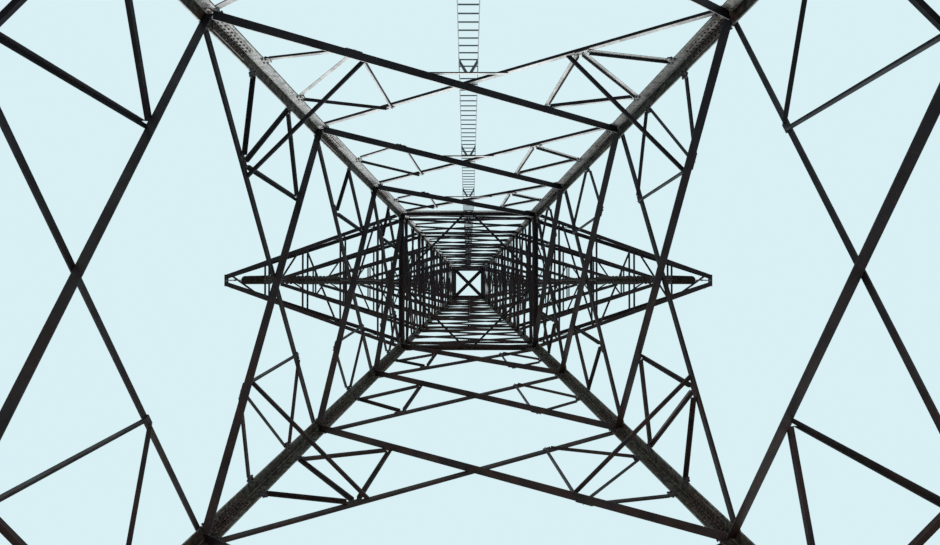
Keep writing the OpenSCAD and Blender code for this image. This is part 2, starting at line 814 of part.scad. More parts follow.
color(steel) lower_leg(1, -1);  // leg_front_right
color(steel) lower_leg(1, 1);  // leg_back_right
color(steel) lower_leg(-1, 1);  // leg_back_left
color(steel) lower_leg(-1, -1);  // leg_front_left
color(steel) upper_leg(1, -1);  // upper_leg_front_right
color(steel) upper_leg(1, 1);  // upper_leg_back_right
color(steel) upper_leg(-1, 1);  // upper_leg_back_left
color(steel) upper_leg(-1, -1);  // upper_leg_front_left
color(dark_steel) base_bracing(0);  // base_bracing_front
color(dark_steel) base_bracing(1);  // base_bracing_right
color(dark_steel) base_bracing(2);  // base_bracing_back
color(dark_steel) base_bracing(3);  // base_bracing_left
color(dark_steel) lower_bracing(0);  // lower_bracing_front
color(dark_steel) lower_bracing(1);  // lower_bracing_right
color(dark_steel) lower_bracing(2);  // lower_bracing_back
color(dark_steel) lower_bracing(3);  // lower_bracing_left
color(dark_steel) body_bracing(0);  // body_bracing_front
color(dark_steel) body_bracing(1);  // body_bracing_right
color(dark_steel) body_bracing(2);  // body_bracing_back
color(dark_steel) body_bracing(3);  // body_bracing_left
color(dark_steel) base_girts();
color(dark_steel) corner_ties();
color(dark_steel) waist_frame();
color(dark_steel) top_frame();
color(steel) cross_arm(0, 1);  // cross_arm_1_right
color(steel) cross_arm(0, -1);  // cross_arm_1_left
color(steel) cross_arm(1, 1);  // cross_arm_2_right
color(steel) cross_arm(1, -1);  // cross_arm_2_left
color(steel) cross_arm(2, 1);  // cross_arm_3_right
color(steel) cross_arm(2, -1);  // cross_arm_3_left
color(steel) cross_arm(3, 1);  // cross_arm_4_right
color(steel) cross_arm(3, -1);  // cross_arm_4_left
color(steel) cross_arm(4, 1);  // cross_arm_5_right
color(steel) cross_arm(4, -1);  // cross_arm_5_left
color(steel) cross_arm(5, 1);  // cross_arm_6_right
color(steel) cross_arm(5, -1);  // cross_arm_6_left
color(steel) earth_wire_arms();
color(olive) insulators(0);  // insulators_1
color(olive) insulators(1);  // insulators_2
color(olive) insulators(2);  // insulators_3
color(olive) insulators(3);  // insulators_4
color(olive) insulators(4);  // insulators_5
color(olive) insulators(5);  // insulators_6
color(steel) ladder_lower();
color(steel) ladder_upper();
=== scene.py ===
import json
import math
import random

import bmesh
import bpy
from mathutils import Matrix, Vector


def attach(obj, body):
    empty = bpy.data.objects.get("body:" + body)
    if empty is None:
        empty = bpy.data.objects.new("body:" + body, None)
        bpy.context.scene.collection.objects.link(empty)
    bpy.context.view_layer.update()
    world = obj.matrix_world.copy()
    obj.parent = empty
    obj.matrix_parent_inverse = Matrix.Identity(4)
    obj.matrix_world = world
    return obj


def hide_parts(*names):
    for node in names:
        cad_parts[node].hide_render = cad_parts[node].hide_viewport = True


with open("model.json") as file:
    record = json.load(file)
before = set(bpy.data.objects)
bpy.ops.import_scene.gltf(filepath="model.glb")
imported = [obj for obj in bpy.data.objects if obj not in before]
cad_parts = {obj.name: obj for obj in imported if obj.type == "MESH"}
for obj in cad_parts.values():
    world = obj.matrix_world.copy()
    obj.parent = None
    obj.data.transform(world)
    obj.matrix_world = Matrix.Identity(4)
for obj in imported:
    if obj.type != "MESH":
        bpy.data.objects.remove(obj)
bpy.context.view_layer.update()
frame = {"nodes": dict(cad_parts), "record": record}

random.seed(7)

# The tower's own sizes in metres, at half the real size. Its sides are counted from the front, by way
# of the right and the back to the left
tower = {
    "baseWidth": 5.85, "waistWidth": 2.28, "topWidth": 1.11,
    "levels": [3.3, 6.725, 9.4, 11.9, 13.7],
    "legFlange": 0.12, "legThick": 0.012, "upperFlange": 0.08, "upperThick": 0.008,
    "mainThick": 0.007, "tieThick": 0.005, "plateThick": 0.006, "girtDrop": 0.085,
    "bodyFlange": 0.036, "bodyThick": 0.004, "jointRoom": 0.065,
}
arms = {
    "pitch": 3.15, "depth": 0.75, "reach": [4.07, 3.9, 3.7, 3.15, 3.0, 2.92],
    "hangerRoom": [0.375, 0.305, 0.405, 0.46, 0.51, 0.595],
    "flange": 0.06, "thick": 0.005, "laceThick": 0.004, "laceRoom": 0.05, "bays": 4,
    "tipHalf": 0.09, "tipDepth": 0.13, "boltRoom": 0.03,
    "earthReach": 2.45, "earthDepth": 0.6, "earthRise": 0.55, "earthRoom": 0.26,
}
sideNames = ("Front", "Right", "Back", "Left")
armCount = len(arms["reach"])
waist = tower["levels"][-1]
armTop = waist + (armCount - 1) * arms["pitch"] + arms["depth"]
earthZ = armTop + arms["earthRise"]
topZ = earthZ + arms["earthDepth"] + tower["upperFlange"] / 2
lowerLean = math.atan((tower["baseWidth"] - tower["waistWidth"]) / 2 / waist)
upperLean = math.atan((tower["waistWidth"] - tower["topWidth"]) / 2 / (topZ - waist))


def halfWidth(z):
    if z <= waist:
        return tower["baseWidth"] / 2 - z * math.tan(lowerLean)
    return tower["waistWidth"] / 2 - (z - waist) * math.tan(upperLean)


def crossZ(z0, z1):  # where the diagonals of a panel cross
    return z0 + (z1 - z0) * halfWidth(z0) / (halfWidth(z0) + halfWidth(z1))


# The plane of a face: x along it, y inward, z up its slope
def lowerFace(side):
    return (Matrix.Rotation(math.radians(90 * side), 4, "Z")
            @ Matrix.Translation((0, -tower["baseWidth"] / 2, 0))
            @ Matrix.Rotation(-lowerLean, 4, "X"))


def upperFace(side):
    return (Matrix.Rotation(math.radians(90 * side), 4, "Z")
            @ Matrix.Translation((0, -tower["waistWidth"] / 2, waist))
            @ Matrix.Rotation(-upperLean, 4, "X"))


def alongLower(z):
    return z / math.cos(lowerLean)


def alongUpper(z):
    return (z - waist) / math.cos(upperLean)


bpy.context.scene.view_settings.view_transform = "Standard"

# Camera inside the base, looking almost straight up. Its focal length, and the place of the point
# straight overhead from the middle of the picture, are in pixels at this width
view = {"place": (0, 0.08, 0.75), "focal": 775, "width": 940, "overhead": (-1.5, 12.7),
        "sensor": 36, "near": 0.02, "far": 300}
look = Vector((-view["overhead"][0], -view["overhead"][1], view["focal"])).normalized()
right = (Vector((1, 0, 0)) - look * look.x).normalized()
up = (-look).cross(right)
cameraData = bpy.data.cameras.new("camera")
camera = bpy.data.objects.new("camera", cameraData)
bpy.context.scene.collection.objects.link(camera)
cameraData.sensor_width = view["sensor"]
cameraData.lens = view["sensor"] * view["focal"] / view["width"]
cameraData.clip_start = view["near"]
cameraData.clip_end = view["far"]
camera.matrix_world = Matrix.Translation(view["place"]) @ Matrix((right, up, -look)).transposed().to_4x4()
bpy.context.scene.camera = camera
print("camera ready")


# Shader nodes
def feed(tree, socket, value):  # the value is another node's output, or plain
    if isinstance(value, bpy.types.NodeSocket):
        tree.links.new(value, socket)
    else:
        socket.default_value = value


def addNode(tree, kind, **values):  # from_min stands for the input From Min
    node = tree.nodes.new(kind)
    for name, value in values.items():
        feed(tree, node.inputs[name.replace("_", " ").title()], value)
    return node


def mixColour(tree, factor, first, second, mode="MIX"):
    node = addNode(tree, "ShaderNodeMix", factor=factor)
    node.data_type = "RGBA"
    node.blend_type = mode
    feed(tree, node.inputs[6], first)  # inputs 6 and 7 and output 2 are the colours
    feed(tree, node.inputs[7], second)
    return node.outputs[2]


def mathNode(tree, operation, first, second=0.0):
    node = tree.nodes.new("ShaderNodeMath")
    node.operation = operation
    feed(tree, node.inputs[0], first)
    feed(tree, node.inputs[1], second)
    return node.outputs[0]


def product(tree, total, *factors):
    for factor in factors:
        total = mathNode(tree, "MULTIPLY", total, factor)
    return total


def rangeNode(tree, value, low, high, atLow=0.0, atHigh=1.0):
    return addNode(tree, "ShaderNodeMapRange", value=value, from_min=low, from_max=high,
                   to_min=atLow, to_max=atHigh).outputs[0]


def noise(tree, vector, scale, detail=3.0, roughness=0.55):
    return addNode(tree, "ShaderNodeTexNoise", vector=vector, scale=scale, detail=detail,
                   roughness=roughness).outputs["Fac"]


def axesOf(tree, vector):
    return addNode(tree, "ShaderNodeSeparateXYZ", vector=vector).outputs


def newGroup(name, inputs, outputs):  # names of the sockets under their kind
    group = bpy.data.node_groups.new(name, "ShaderNodeTree")
    for way, sockets in (("INPUT", inputs), ("OUTPUT", outputs)):
        for kind, labels in sockets.items():
            for label in labels:
                group.interface.new_socket(label, in_out=way, socket_type="NodeSocket" + kind)
    return group, group.nodes.new("NodeGroupInput"), group.nodes.new("NodeGroupOutput")


# Weathering of the zinc, with painted sunlight on what faces +Y and painted shade on the front half and the
# +X legs.
# Two numbers are where a mask starts and ends, and two more are its values there
weather = {
    "patchDetail": 5.0, "patchRoughness": 0.6, "patchEdge": (0.4, 0.64),
    "streakStretch": (34, 34, 1.6), "streakEdge": (0.42, 0.7),
    "spangleScale": 130.0, "spangleTone": (0, 1, 0.82, 1.18),
    "filmReach": (-1.2, 1.2), "filmScale": 4.5, "filmDetail": 5.0, "filmPatches": (0.4, 0.58, 0.3, 1.0),
    "frontDull": (-1.2, 1.2, 0.4675, 0.0),
    "sunFacing": (0.965, 0.985), "sunPatches": (0.36, 0.54, 0.55, 1.0), "sunDepth": (-0.4, 0.8, 1.0, 0.3),
    "sunBeside": (0.12, 0.3, 1.0, 0.0), "dullLeg": (0.1, 0.2, 0.75, 0.0), "dullRight": (0.1, 0.3),
    "grainScale": 26.0, "grainDetail": 6.0, "grainRoughness": 0.7,
    "rustShare": 0.35, "rustEdge": (0.62, 0.74),
    "patchGloss": (0, 1, 0.62, 0.46), "rustGloss": 0.25, "grainHeight": 0.5, "spangleHeight": 0.2,
}


def paintedSunSides(group, place, cloud):
    # Painted sunlight: paler zinc, as a highlight painted into the colour, on what faces +Y, towards the
    # sun.
    # It is most on the front half of the tower, and none on its left and right sides
    normal = axesOf(group, group.nodes.new("ShaderNodeNewGeometry").outputs["Normal"])
    beside = mathNode(group, "SUBTRACT", mathNode(group, "ABSOLUTE", place["X"]),
                      mathNode(group, "ABSOLUTE", place["Y"]))
    # Painted shade: the legs on the +X side get less of the painted sunlight, for the shadow their own
    # flange casts
    dull = product(group, rangeNode(group, mathNode(group, "ABSOLUTE", beside), *weather["dullLeg"]),
                   rangeNode(group, place["X"], *weather["dullRight"]))
    return product(group, rangeNode(group, normal["Y"], *weather["sunFacing"]),
                   rangeNode(group, cloud, *weather["sunPatches"]),
                   rangeNode(group, place["Y"], *weather["sunDepth"]),
                   rangeNode(group, beside, *weather["sunBeside"]),
                   mathNode(group, "SUBTRACT", 1.0, dull))


def weatheredZinc():  # zinc with dull patches, rain streaks, a brown film and specks of rust, and with painted shade and painted sunlight
    group, inside, out = newGroup(
        "weatheredZinc",
        {"Vector": ["Vector"], "Color": ["Zinc", "Dull", "Rust", "Bleached", "Film"],
         "Float": ["Rust Amount", "Patch Scale", "Streaks", "Bleach", "Film Amount"]},
        {"Color": ["Color"], "Float": ["Roughness", "Height"]})
    coat = inside.outputs
    spot = coat["Vector"]
    place = axesOf(group, spot)
    cloud = noise(group, spot, coat["Patch Scale"], weather["patchDetail"], weather["patchRoughness"])
    patch = rangeNode(group, cloud, *weather["patchEdge"])
    stretched = addNode(group, "ShaderNodeMapping", vector=spot, scale=weather["streakStretch"]).outputs[0]
    streak = rangeNode(group, noise(group, stretched, 1.0), *weather["streakEdge"])
    cells = addNode(group, "ShaderNodeTexVoronoi", vector=spot, scale=weather["spangleScale"])
    cellTone = addNode(group, "ShaderNodeSeparateColor", color=cells.outputs["Color"]).outputs[0]
    spangle = rangeNode(group, cellTone, *weather["spangleTone"])
    base = mixColour(group, patch, coat["Dull"], coat["Zinc"])
    base = mixColour(group, product(group, streak, coat["Streaks"]), base, coat["Dull"])
    # The film is strongest on the half of the tower towards +Y
    filmSpots = noise(group, spot, weather["filmScale"], weather["filmDetail"])
    film = product(group, rangeNode(group, place["Y"], *weather["filmReach"]),
                   rangeNode(group, filmSpots, *weather["filmPatches"]), coat["Film Amount"])
    base = mixColour(group, film, base, coat["Film"])
    # Painted shade: the other half, towards -Y, is duller, mixed towards the dull colour
    base = mixColour(group, rangeNode(group, place["Y"], *weather["frontDull"]), base, coat["Dull"])
    # Painted highlight: the sides towards the sun are mixed towards a paler colour
    paintedSun = product(group, paintedSunSides(group, place, cloud), coat["Bleach"])
    base = mixColour(group, paintedSun, base, coat["Bleached"])
    base = mixColour(group, 1.0, base, spangle, "MULTIPLY")
    grain = noise(group, spot, weather["grainScale"], weather["grainDetail"], weather["grainRoughness"])
    rust = mathNode(group, "ADD", grain, product(group, coat["Rust Amount"], weather["rustShare"]))
    rust = rangeNode(group, rust, *weather["rustEdge"])
    rough = mathNode(group, "ADD", rangeNode(group, patch, *weather["patchGloss"]),
                     product(group, rust, weather["rustGloss"]))
    height = mathNode(group, "ADD", product(group, grain, weather["grainHeight"]),
                      product(group, spangle, weather["spangleHeight"]))
    feed(group, out.inputs["Color"], mixColour(group, rust, base, coat["Rust"]))
    feed(group, out.inputs["Roughness"], rough)
    feed(group, out.inputs["Height"], height)
    return group


paleEdging = {"bend": (0.995, 0.8), "scale": 18.0, "detail": 4.0, "broken": (0.34, 0.56)}


def edgeWear():  # pale edges, where the rounded normal leaves the flat one: rubbed wear, and with a wide radius a painted highlight too
    group, inside, out = newGroup(
        "edgeWear", {"Vector": ["Vector"], "Color": ["Color", "Bare"], "Float": ["Wear", "Edge Radius"]},
        {"Color": ["Color"]})
    rounded = addNode(group, "ShaderNodeBevel", radius=inside.outputs["Edge Radius"])
    rounded.samples = 4
    bend = group.nodes.new("ShaderNodeVectorMath")
    bend.operation = "DOT_PRODUCT"
    feed(group, bend.inputs[0], rounded.outputs[0])
    feed(group, bend.inputs[1], group.nodes.new("ShaderNodeNewGeometry").outputs["Normal"])
    broken = noise(group, inside.outputs["Vector"], paleEdging["scale"], paleEdging["detail"])
    mask = product(group, rangeNode(group, bend.outputs["Value"], *paleEdging["bend"]),
                   rangeNode(group, broken, *paleEdging["broken"]), inside.outputs["Wear"])
    paleEdged = mixColour(group, mask, inside.outputs["Color"], inside.outputs["Bare"])
    feed(group, out.inputs["Color"], paleEdged)
    return group


# What the steel finishes share, then what each has of its own
plainSteel = {
    "metallic": 0.1, "specular": 0.25, "wear": 0.6, "edgeRadius": 0.004, "rust": (0.05, 0.021, 0.014),
    "film": (0.034, 0.019, 0.013), "filmAmount": 0.5, "bumpStrength": 0.5, "bumpHeight": 0.0015,
    "rustBands": (), "bandRust": 0.5,
}
# The near-black zinc of the bracing and arms, and the near-black dull colours, are painted shade: galvanised
# steel is paler, and they stand for its shaded side
finishes = {
    # The wide edge radius of the legs and covers makes their pale edges partly wear and partly a painted
    # highlight along the rounded edges
    "legSteel": {
        "zinc": (0.092, 0.096, 0.07), "dull": (0.006, 0.0065, 0.005), "rustAmount": 0.04,
        "patchScale": 17.0, "streaks": 0.6, "bare": (0.4, 0.38, 0.34), "bleached": (0.62, 0.64, 0.62),
        "bleach": 1.0, "filmAmount": 0.45, "specular": 0.18, "edgeRadius": 0.014,
        "rustBands": ((0.1, 0.5), (tower["levels"][0], 0.35), (tower["levels"][1], 0.3))},
    "coverSteel": {
        "zinc": (0.11, 0.075, 0.052), "dull": (0.01, 0.008, 0.007), "rustAmount": 0.22,
        "patchScale": 24.0, "streaks": 0.3, "bare": (0.4, 0.34, 0.28), "bleached": (0.6, 0.6, 0.57),
        "bleach": 1.0, "filmAmount": 0.3, "specular": 0.18, "edgeRadius": 0.01},
    "bracingSteel": {
        "zinc": (0.012, 0.012, 0.016), "dull": (0.004, 0.004, 0.006), "rustAmount": 0.05,
        "patchScale": 3.4, "streaks": 0.45, "bare": (0.11, 0.11, 0.12), "bleached": (0.66, 0.67, 0.65),
        "bleach": 1.0, "filmAmount": 0.7, "specular": 0.12},
    "armSteel": {
        "zinc": (0.013, 0.013, 0.017), "dull": (0.005, 0.005, 0.007), "rustAmount": 0.03,
        "patchScale": 4.0, "streaks": 0.35, "bare": (0.12, 0.12, 0.13), "bleached": (0.4, 0.4, 0.4),
        "bleach": 0.7, "filmAmount": 0.6, "specular": 0.12},
    "fittingSteel": {
        "zinc": (0.07, 0.07, 0.074), "dull": (0.025, 0.025, 0.028), "rustAmount": 0.25,
        "patchScale": 9.0, "streaks": 0.3, "bare": (0.25, 0.25, 0.25), "bleached": (0.5, 0.51, 0.5),
        "bleach": 0.8, "metallic": 0.6, "bumpHeight": 0.0006},
    # The ladder's pale zinc is a painted highlight of sky light on its rails; its rungs and brackets are
    # darkened as painted shade
    "ladderSteel": {
        "zinc": (0.34, 0.38, 0.39), "dull": (0.2, 0.23, 0.24), "rustAmount": 0.0,
        "patchScale": 6.0, "streaks": 0.3, "bare": (0.5, 0.52, 0.52), "bleached": (0.34, 0.38, 0.39),
        "bleach": 0.0, "metallic": 0.15, "filmAmount": 0.0, "specular": 0.5},
}
zincGroup = weatheredZinc()
edgeGroup = edgeWear()


def newMaterial(name):
    material = bpy.data.materials.new(name)
    material.use_nodes = True
    return material, material.node_tree, material.node_tree.nodes["Principled BSDF"].inputs


def objectPlace(tree):
    return tree.nodes.new("ShaderNodeTexCoord").outputs["Object"]


def placeGroup(tree, group, finish, place):  # the input Rust Amount takes the finish's rustAmount
    node = tree.nodes.new("ShaderNodeGroup")
    node.node_tree = group
    for socket in node.inputs:
        key = socket.name[0].lower() + socket.name[1:].replace(" ", "")
        if key in finish:
            socket.default_value = (*finish[key], 1) if socket.type == "RGBA" else finish[key]
    feed(tree, node.inputs["Vector"], place)
    return node


def rustNearJoints(tree, place, finish):  # extra rust in a band above and below each joint level
    extra = 0.0
    for level, reach in finish["rustBands"]:
        away = mathNode(tree, "ABSOLUTE", mathNode(tree, "SUBTRACT", axesOf(tree, place)["Z"], level))
        extra = mathNode(tree, "MAXIMUM", rangeNode(tree, away, 0.0, reach, finish["bandRust"], 0.0), extra)
    return mathNode(tree, "ADD", extra, finish["rustAmount"])


def steelMaterial(name):
    finish = {**plainSteel, **finishes[name]}
    material, tree, surface = newMaterial(name)
    place = objectPlace(tree)
    coat = placeGroup(tree, zincGroup, finish, place)
    paleEdged = placeGroup(tree, edgeGroup, finish, place)
    if finish["rustBands"]:
        feed(tree, coat.inputs["Rust Amount"], rustNearJoints(tree, place, finish))
    feed(tree, paleEdged.inputs["Color"], coat.outputs["Color"])
    bump = addNode(tree, "ShaderNodeBump", strength=finish["bumpStrength"], distance=finish["bumpHeight"],
                   height=coat.outputs["Height"])
    feed(tree, surface["Metallic"], finish["metallic"])
    feed(tree, surface["Specular IOR Level"], finish["specular"])
    feed(tree, surface["Base Color"], paleEdged.outputs["Color"])
    feed(tree, surface["Roughness"], coat.outputs["Roughness"])
    feed(tree, surface["Normal"], bump.outputs[0])
    return material


# The ladder's rails, past railEdge from its middle, are paler than its rungs and brackets: the pale rails
# are a painted highlight for sky light, and the rungs and brackets get painted shade
ladder = {"railEdge": 0.0843, "rungTone": (0.12, 0.19, 0.22, 1)}


def paintRungShade(material):
    tree = material.node_tree
    socket = tree.nodes["Principled BSDF"].inputs["Base Color"]
    colour = socket.links[0].from_socket
    across = mathNode(tree, "ABSOLUTE", axesOf(tree, objectPlace(tree))["X"])
    rail = mathNode(tree, "GREATER_THAN", across, ladder["railEdge"])
    rung = mixColour(tree, 1.0, colour, ladder["rungTone"], "MULTIPLY")
    feed(tree, socket, mixColour(tree, rail, rung, colour))


glaze = {
    "dark": (0.008, 0.0065, 0.0055, 1), "brown": (0.022, 0.017, 0.012, 1), "specular": 0.25,
    "cloudScale": 9.0, "cloudDetail": 4.0, "cloudEdge": (0.35, 0.65),
    "grime": (0.06, 0.052, 0.044, 1), "grimeScale": 42.0, "grimeDetail": 5.0, "grimeRoughness": 0.7,
    "grimeEdge": (0.5, 0.75), "grimeShare": 0.5, "grimeGloss": (0, 1, 0.3, 0.65),
}


def glazeMaterial():
    material, tree, surface = newMaterial("brownGlaze")
    place = objectPlace(tree)
    cloud = noise(tree, place, glaze["cloudScale"], glaze["cloudDetail"])
    colour = mixColour(tree, rangeNode(tree, cloud, *glaze["cloudEdge"]), glaze["dark"], glaze["brown"])
    grime = noise(tree, place, glaze["grimeScale"], glaze["grimeDetail"], glaze["grimeRoughness"])
    grime = rangeNode(tree, grime, *glaze["grimeEdge"])
    colour = mixColour(tree, product(tree, grime, glaze["grimeShare"]), colour, glaze["grime"])
    feed(tree, surface["Specular IOR Level"], glaze["specular"])
    feed(tree, surface["Base Color"], colour)
    feed(tree, surface["Roughness"], rangeNode(tree, grime, *glaze["grimeGloss"]))
    return material


materials = {name: steelMaterial(name) for name in finishes}
paintRungShade(materials["ladderSteel"])
materials["brownGlaze"] = glazeMaterial()
finishOfSlot = {"leg_steel": "legSteel", "bracing_steel": "bracingSteel", "arm_steel": "armSteel",
                "ladder_steel": "ladderSteel", "insulator_glaze": "brownGlaze"}
slotOfNode = {part["node"]: part["material_slot"] for part in frame["record"]["subparts"]}
for nodeName, obj in frame["nodes"].items():
    for materialSlot in obj.material_slots:
        materialSlot.material = materials[finishOfSlot[slotOfNode[nodeName]]]
print("materials ready")

# Floor, light and background, with the sun's angles in degrees
studio = {
    "floorSize": 3000, "floorColour": (0.78, 0.78, 0.77, 1), "floorRoughness": 0.9,
    "light": (0.75, 0.77, 0.8, 1), "backdrop": (0.69, 0.87, 0.91, 1),
    "sunEnergy": 2.0, "sunSpread": 20, "sunTilt": -62, "sunTurn": -4,
}
bpy.ops.mesh.primitive_plane_add(size=studio["floorSize"])
floor = bpy.context.object
floor.name = "floor"
floorMaterial, floorTree, floorSurface = newMaterial("paleFloor")
feed(floorTree, floorSurface["Base Color"], studio["floorColour"])
feed(floorTree, floorSurface["Roughness"], studio["floorRoughness"])
floor.data.materials.append(floorMaterial)

world = bpy.data.worlds.new("studio")
bpy.context.scene.world = world
world.use_nodes = True
sky = world.node_tree
background = sky.nodes["Background"]
rays = sky.nodes.new("ShaderNodeLightPath").outputs
seen = mathNode(sky, "MAXIMUM", mathNode(sky, "MAXIMUM", rays["Is Camera Ray"], rays["Is Glossy Ray"]),
                rays["Is Transmission Ray"])
feed(sky, background.inputs["Color"], mixColour(sky, seen, studio["light"], studio["backdrop"]))
feed(sky, background.inputs["Strength"], 1.0)
sunData = bpy.data.lights.new("softSun", "SUN")
sunData.energy = studio["sunEnergy"]
sunData.angle = math.radians(studio["sunSpread"])
sun = bpy.data.objects.new("softSun", sunData)
sun.rotation_euler = (math.radians(studio["sunTilt"]), 0, math.radians(studio["sunTurn"]))
bpy.context.scene.collection.objects.link(sun)
print("stage ready")


# Building helpers
def meshFrom(bm, name):
    mesh = bpy.data.meshes.new(name)
    bm.to_mesh(mesh)
    bm.free()
    return mesh


def stamp(bm, shape, matrix):  # adds a turned copy of the shape
    copy = shape.copy()
    copy.transform(matrix)
    bm.from_mesh(copy)
    bpy.data.meshes.remove(copy)


def addPiece(name, bm, finishName, replaced=(), smoothAngle=None):
    mesh = meshFrom(bm, name)
    obj = bpy.data.objects.new(name, mesh)
    bpy.context.scene.collection.objects.link(obj)
    mesh.materials.append(materials[finishName])
    if smoothAngle:
        mesh.polygons.foreach_set("use_smooth", [True] * len(mesh.polygons))
        mesh.set_sharp_from_angle(angle=math.radians(smoothAngle))
    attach(obj, "root")
    if replaced:
        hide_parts(*replaced)


def plateShape(name, wide, high, thick, corner):
    bm = bmesh.new()
    bmesh.ops.create_cube(bm, size=1, matrix=Matrix.Diagonal((wide, thick, high, 1)))
    across = [e for e in bm.edges if abs(e.verts[0].co.y - e.verts[1].co.y) > thick / 2]
    bmesh.ops.bevel(bm, geom=across, offset=corner, affect="EDGES", segments=2, profile=0.5, material=-1)
    return meshFrom(bm, name)


def post(bm, radius, height, sides, foot):  # a bar that stands on foot
    middle = foot + Vector((0, 0, height / 2))
    made = bmesh.ops.create_cone(bm, cap_ends=True, segments=sides, radius1=radius, radius2=radius,
                                 depth=height, matrix=Matrix.Translation(middle))
    return made["verts"]


# Bolts: the radius of each kind's head, and the rest as shares of it. The chamfer's height is a share
# of the head's
bolts = {"large": 0.0088, "small": 0.0068, "anchor": 0.02}
boltForm = {"head": 0.65, "nut": 0.85, "threadOut": 0.5, "thread": 0.52, "chamferWide": 0.14,
            "chamferHigh": 0.2, "washer": 1.35, "washerThick": 0.22, "washerSides": 8}


def boltShape(name, kind, height, threadOut=0):
    radius = bolts[kind]
    bm = bmesh.new()
    foot = Vector((0, 0, 0))
    if kind != "small":
        thick = radius * boltForm["washerThick"]
        post(bm, radius * boltForm["washer"], thick, boltForm["washerSides"], foot)
        foot.z = thick
    chamfer = height * boltForm["chamferHigh"]
    hexagon = post(bm, radius, height - chamfer, 6, foot)
    top = max((f for v in hexagon for f in v.link_faces), key=lambda f: f.calc_center_median().z)
    bmesh.ops.inset_individual(bm, faces=[top], depth=chamfer,
                               thickness=radius * boltForm["chamferWide"] * math.cos(math.pi / 6))
    if threadOut:
        post(bm, radius * boltForm["thread"], threadOut, 6, foot + Vector((0, 0, height)))
    return meshFrom(bm, name)


heads = {kind: boltShape(kind + "Head", kind, r * boltForm["head"]) for kind, r in bolts.items()}
nuts = {kind: boltShape(kind + "Nut", kind, r * boltForm["nut"], r * boltForm["threadOut"])
        for kind, r in bolts.items()}


def pointing(point, normal):  # places a head or a nut, turned by chance as a spanner leaves it
    turn = Vector(normal).to_track_quat("Z", "Y").to_matrix().to_4x4()
    return Matrix.Translation(point) @ turn @ Matrix.Rotation(random.uniform(0, math.pi / 3), 4, "Z")


def bolt(bm, base, start, end, kind="large"):  # head at start and nut at end
    axis = Vector(start) - Vector(end)
    stamp(bm, heads[kind], base @ pointing(start, axis))
    stamp(bm, nuts[kind], base @ pointing(end, -axis))


def faceBolts(bm, base, spots, depthHead, depthNut, kind="large"):
    for x, s in spots:
        bolt(bm, base, (x, depthHead, s), (x, depthNut, s), kind)


# Bolt places near both ends of a bar in a face
def barEnds(start, end, places, offsets):
    start, end = Vector(start), Vector(end)
    way = (end - start).normalized()
    side = Vector((-way.y, way.x))
    return [point + way * sign * along + side * offset
            for point, sign in ((start, 1), (end, -1)) for along in places for offset in offsets]


# Legs: covers over the splice above every joint level, inside and outside, with their bolts
lowerSplice = {
    "face": lowerFace, "along": alongLower, "lean": lowerLean, "flange": tower["legFlange"],
    "legThick": tower["legThick"], "rise": 0.42, "length": 0.6, "pitch": 0.06, "thick": 0.006,
    "wide": 0.078, "corner": 0.006, "heelRoom": 0.004, "rows": (-0.018, 0.018), "bolt": "large",
}
upperSplice = {
    "face": upperFace, "along": alongUpper, "lean": upperLean, "flange": tower["upperFlange"],
    "legThick": tower["upperThick"], "rise": 0.46, "length": 0.3, "pitch": 0.05, "thick": 0.005,
    "wide": 0.056, "corner": 0.006, "heelRoom": 0.004, "rows": (-0.014, 0.014), "bolt": "small",
}
for splice in (lowerSplice, upperSplice):
    splice["cover"] = plateShape("cover", splice["wide"], splice["length"], splice["thick"],
                                 splice["corner"])


def legSplice(bm, covers, splice, side, m, z):  # m is 1 on the leg at the face's right, -1 at its left
    z += splice["rise"]
    turn = Matrix.Rotation(math.atan(-m * math.sin(splice["lean"])), 4, "Y")
    middle = m * (halfWidth(z) - splice["flange"] / 2)
    place = splice["face"](side) @ Matrix.Translation((middle, 0, splice["along"](z))) @ turn
    shift = m * (splice["flange"] / 2 - splice["legThick"] - splice["heelRoom"] - splice["wide"] / 2)
    for y in (-splice["thick"] / 2, splice["legThick"] + splice["thick"] / 2):
        stamp(covers, splice["cover"], place @ Matrix.Translation((shift, y, 0)))
    count = round(splice["length"] / splice["pitch"])
    spots = [(row + shift, (k - (count - 1) / 2) * splice["pitch"])
             for k in range(count) for row in splice["rows"]]
    faceBolts(bm, place, spots, -splice["thick"], splice["legThick"] + splice["thick"], splice["bolt"])


for corner, name in enumerate(("FrontRight", "BackRight", "BackLeft", "FrontLeft")):
    bm, covers = bmesh.new(), bmesh.new()
    for side, m in ((corner, 1), ((corner + 1) % 4, -1)):
        for z in tower["levels"][:-1]:
            legSplice(bm, covers, lowerSplice, side, m, z)
        for i in range(armCount):
            legSplice(bm, covers, upperSplice, side, m, waist + i * arms["pitch"] + arms["depth"])
    addPiece("spliceCovers" + name, covers, "coverSteel")
    addPiece("spliceBolts" + name, bm, "fittingSteel")
print("leg splices ready")

